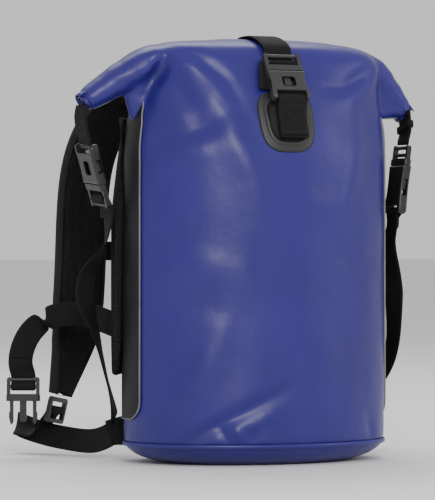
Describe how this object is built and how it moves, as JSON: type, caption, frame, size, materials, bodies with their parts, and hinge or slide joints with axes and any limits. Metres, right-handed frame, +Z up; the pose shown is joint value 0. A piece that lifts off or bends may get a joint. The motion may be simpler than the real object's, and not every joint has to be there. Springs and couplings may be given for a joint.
{
  "type": "roll-top dry backpack",
  "caption": "Roll-top waterproof backpack in coated fabric with side-release buckles, padded back, shoulder straps, sternum strap and waist belt.",
  "frame": {"origin": "centre of the base, on the surface that the bag stands on", "axes": "+Z up, front towards -Y, +X to the right as seen from the front"},
  "size_m": [0.4017, 0.2956, 0.43],
  "materials": {
    "pvc_blue": "glossy coated tarpaulin",
    "back_fabric": "coated black fabric",
    "mesh_padding": "spacer mesh over foam",
    "webbing": "woven webbing",
    "patch_rubber": "moulded, satin",
    "stiffener_plastic": "matte",
    "buckle_plastic": "moulded acetal, satin"
  },
  "bodies": {
    "bag": {"body_shell": "pvc_blue", "base_panel": "pvc_blue", "roll_closure": "pvc_blue", "mouth_stiffener": "stiffener_plastic", "back_panel": "back_fabric", "back_pad": "mesh_padding", "shoulder_yoke": "mesh_padding", "lash_patch": "patch_rubber", "front_buckle_tab": "webbing", "front_buckle_female": "buckle_plastic", "top_strap": "webbing", "left_side_tab": "webbing", "left_buckle_female": "buckle_plastic", "left_lower_strap": "webbing", "right_side_tab": "webbing", "right_buckle_male": "buckle_plastic", "right_lower_strap": "webbing", "left_harness_anchor": "webbing", "right_harness_anchor": "webbing", "left_lower_webbing": "webbing", "right_lower_webbing": "webbing"},
    "front_male": {"front_buckle_male": "buckle_plastic", "top_strap_tail": "webbing"},
    "front_prong_left": {"front_prong_left": "buckle_plastic"},
    "front_prong_right": {"front_prong_right": "buckle_plastic"},
    "left_male": {"left_buckle_male": "buckle_plastic"},
    "left_prong_left": {"left_prong_left": "buckle_plastic"},
    "left_prong_right": {"left_prong_right": "buckle_plastic"},
    "right_female": {"right_buckle_female": "buckle_plastic"},
    "right_prong_left": {"right_prong_left": "buckle_plastic"},
    "right_prong_right": {"right_prong_right": "buckle_plastic"},
    "left_shoulder": {"left_shoulder_pad": "mesh_padding", "left_sternum_rail": "webbing"},
    "right_shoulder": {"right_shoulder_pad": "mesh_padding", "right_sternum_rail": "webbing"},
    "left_lock": {"left_ladder_lock": "buckle_plastic"},
    "right_lock": {"right_ladder_lock": "buckle_plastic"},
    "sternum_left": {"left_sternum_slider": "buckle_plastic", "sternum_webbing_left": "webbing", "sternum_buckle_female": "buckle_plastic"},
    "sternum_right": {"right_sternum_slider": "buckle_plastic", "sternum_webbing_right": "webbing"},
    "sternum_male": {"sternum_buckle_male": "buckle_plastic"},
    "sternum_prong_left": {"sternum_prong_left": "buckle_plastic"},
    "sternum_prong_right": {"sternum_prong_right": "buckle_plastic"},
    "waist_left": {"waist_webbing_left": "webbing", "waist_left_buckle_male": "buckle_plastic"},
    "waist_left_prong_left": {"waist_left_prong_left": "buckle_plastic"},
    "waist_left_prong_right": {"waist_left_prong_right": "buckle_plastic"},
    "waist_right": {"waist_webbing_right": "webbing", "waist_right_buckle_female": "buckle_plastic"},
    "haul": {"haul_loop": "webbing"}
  },
  "joints": [
    {"name": "front_buckle_slide", "type": "slide", "parent": "bag", "child": "front_male", "axis": [0, 0.5281, 0.8492], "range_m": [0, 0.022], "deforming": ["top_strap", "top_strap_tail"]},
    {"name": "front_prong_left_press", "type": "hinge", "parent": "front_male", "child": "front_prong_left", "pos_m": [-0.0119, -0.07068, 0.39151], "axis": [0, -0.8492, 0.5281], "range_deg": [0, 7], "stiffness_Nm_per_rad": 0.05},
    {"name": "front_prong_right_press", "type": "hinge", "parent": "front_male", "child": "front_prong_right", "pos_m": [0.0169, -0.07068, 0.39151], "axis": [0, 0.8492, -0.5281], "range_deg": [0, 7], "stiffness_Nm_per_rad": 0.05},
    {"name": "left_buckle_slide", "type": "slide", "parent": "bag", "child": "left_male", "axis": [0.3039, 0.137, -0.9428], "range_m": [0, 0.027], "deforming": ["left_lower_strap"]},
    {"name": "left_prong_left_press", "type": "hinge", "parent": "left_male", "child": "left_prong_left", "pos_m": [-0.16602, -0.00013, 0.27931], "axis": [-0.9406, -0.114, -0.3198], "range_deg": [0, 7], "stiffness_Nm_per_rad": 0.05},
    {"name": "left_prong_right_press", "type": "hinge", "parent": "left_male", "child": "left_prong_right", "pos_m": [-0.16962, 0.02329, 0.28155], "axis": [0.9406, 0.114, 0.3198], "range_deg": [0, 7], "stiffness_Nm_per_rad": 0.05},
    {"name": "right_buckle_slide", "type": "slide", "parent": "bag", "child": "right_female", "axis": [-0.1301, 0, -0.9915], "range_m": [0, 0.027], "deforming": ["right_lower_strap"]},
    {"name": "right_prong_left_press", "type": "hinge", "parent": "bag", "child": "right_prong_left", "pos_m": [0.15708, -0.0269, 0.3016], "axis": [0.9915, 0, -0.1301], "range_deg": [0, 7], "stiffness_Nm_per_rad": 0.05},
    {"name": "right_prong_right_press", "type": "hinge", "parent": "bag", "child": "right_prong_right", "pos_m": [0.15708, -0.0031, 0.3016], "axis": [-0.9915, 0, 0.1301], "range_deg": [0, 7], "stiffness_Nm_per_rad": 0.05},
    {"name": "left_shoulder_swing", "type": "hinge", "parent": "bag", "child": "left_shoulder", "pos_m": [-0.06, 0.084, 0.368], "axis": [1, 0, 0], "range_deg": [-2.5, 12], "deforming": ["left_lower_webbing"]},
    {"name": "right_shoulder_swing", "type": "hinge", "parent": "bag", "child": "right_shoulder", "pos_m": [0.06, 0.084, 0.368], "axis": [1, 0, 0], "range_deg": [-2.5, 12], "deforming": ["right_lower_webbing"]},
    {"name": "left_lock_tilt", "type": "hinge", "parent": "left_shoulder", "child": "left_lock", "pos_m": [-0.15695, 0.15827, 0.05696], "axis": [0.7415, 0.6546, -0.1472], "range_deg": [0, 30]},
    {"name": "right_lock_tilt", "type": "hinge", "parent": "right_shoulder", "child": "right_lock", "pos_m": [0.15695, 0.15827, 0.05696], "axis": [0.7415, -0.6546, 0.1472], "range_deg": [0, 30]},
    {"name": "sternum_height_left", "type": "slide", "parent": "left_shoulder", "child": "sternum_left", "axis": [0, 0, 1], "range_m": [-0.02, 0.02]},
    {"name": "sternum_height_right", "type": "slide", "parent": "right_shoulder", "child": "sternum_right", "axis": [0, 0, 1], "range_m": [-0.02, 0.02]},
    {"name": "sternum_buckle_slide", "type": "slide", "parent": "sternum_right", "child": "sternum_male", "axis": [1, 0, 0], "range_m": [0, 0.02], "deforming": ["sternum_webbing_right"]},
    {"name": "sternum_prong_left_press", "type": "hinge", "parent": "sternum_male", "child": "sternum_prong_left", "pos_m": [-0.0034, 0.164, 0.2036], "axis": [0, 1, 0], "range_deg": [0, 7], "stiffness_Nm_per_rad": 0.05},
    {"name": "sternum_prong_right_press", "type": "hinge", "parent": "sternum_male", "child": "sternum_prong_right", "pos_m": [-0.0034, 0.164, 0.2224], "axis": [0, -1, 0], "range_deg": [0, 7], "stiffness_Nm_per_rad": 0.05},
    {"name": "waist_left_swing", "type": "hinge", "parent": "bag", "child": "waist_left", "pos_m": [-0.1255, 0.063, 0.136], "axis": [0, 0, 1], "range_deg": [0, 45]},
    {"name": "waist_right_swing", "type": "hinge", "parent": "bag", "child": "waist_right", "pos_m": [0.1255, 0.063, 0.136], "axis": [0, 0, -1], "range_deg": [0, 45]},
    {"name": "waist_left_prong_left_press", "type": "hinge", "parent": "waist_left", "child": "waist_left_prong_left", "pos_m": [-0.21803, 0.12846, 0.0586], "axis": [-0.375, -0.927, 0], "range_deg": [0, 7], "stiffness_Nm_per_rad": 0.05},
    {"name": "waist_left_prong_right_press", "type": "hinge", "parent": "waist_left", "child": "waist_left_prong_right", "pos_m": [-0.19597, 0.11954, 0.0586], "axis": [0.375, 0.927, 0], "range_deg": [0, 7], "stiffness_Nm_per_rad": 0.05},
    {"name": "haul_loop_flop", "type": "hinge", "parent": "bag", "child": "haul", "pos_m": [0, 0.091, 0.371], "axis": [-1, 0, 0], "range_deg": [0, 75]}
  ],
  "couplings": [
    {"joint": "front_prong_left_press", "follows": "front_prong_right_press", "ratio": 1},
    {"joint": "left_prong_left_press", "follows": "left_prong_right_press", "ratio": 1},
    {"joint": "right_prong_left_press", "follows": "right_prong_right_press", "ratio": 1},
    {"joint": "right_shoulder_swing", "follows": "left_shoulder_swing", "ratio": 1},
    {"joint": "sternum_height_right", "follows": "sternum_height_left", "ratio": 1},
    {"joint": "sternum_prong_left_press", "follows": "sternum_prong_right_press", "ratio": 1},
    {"joint": "waist_left_prong_left_press", "follows": "waist_left_prong_right_press", "ratio": 1}
  ]
}
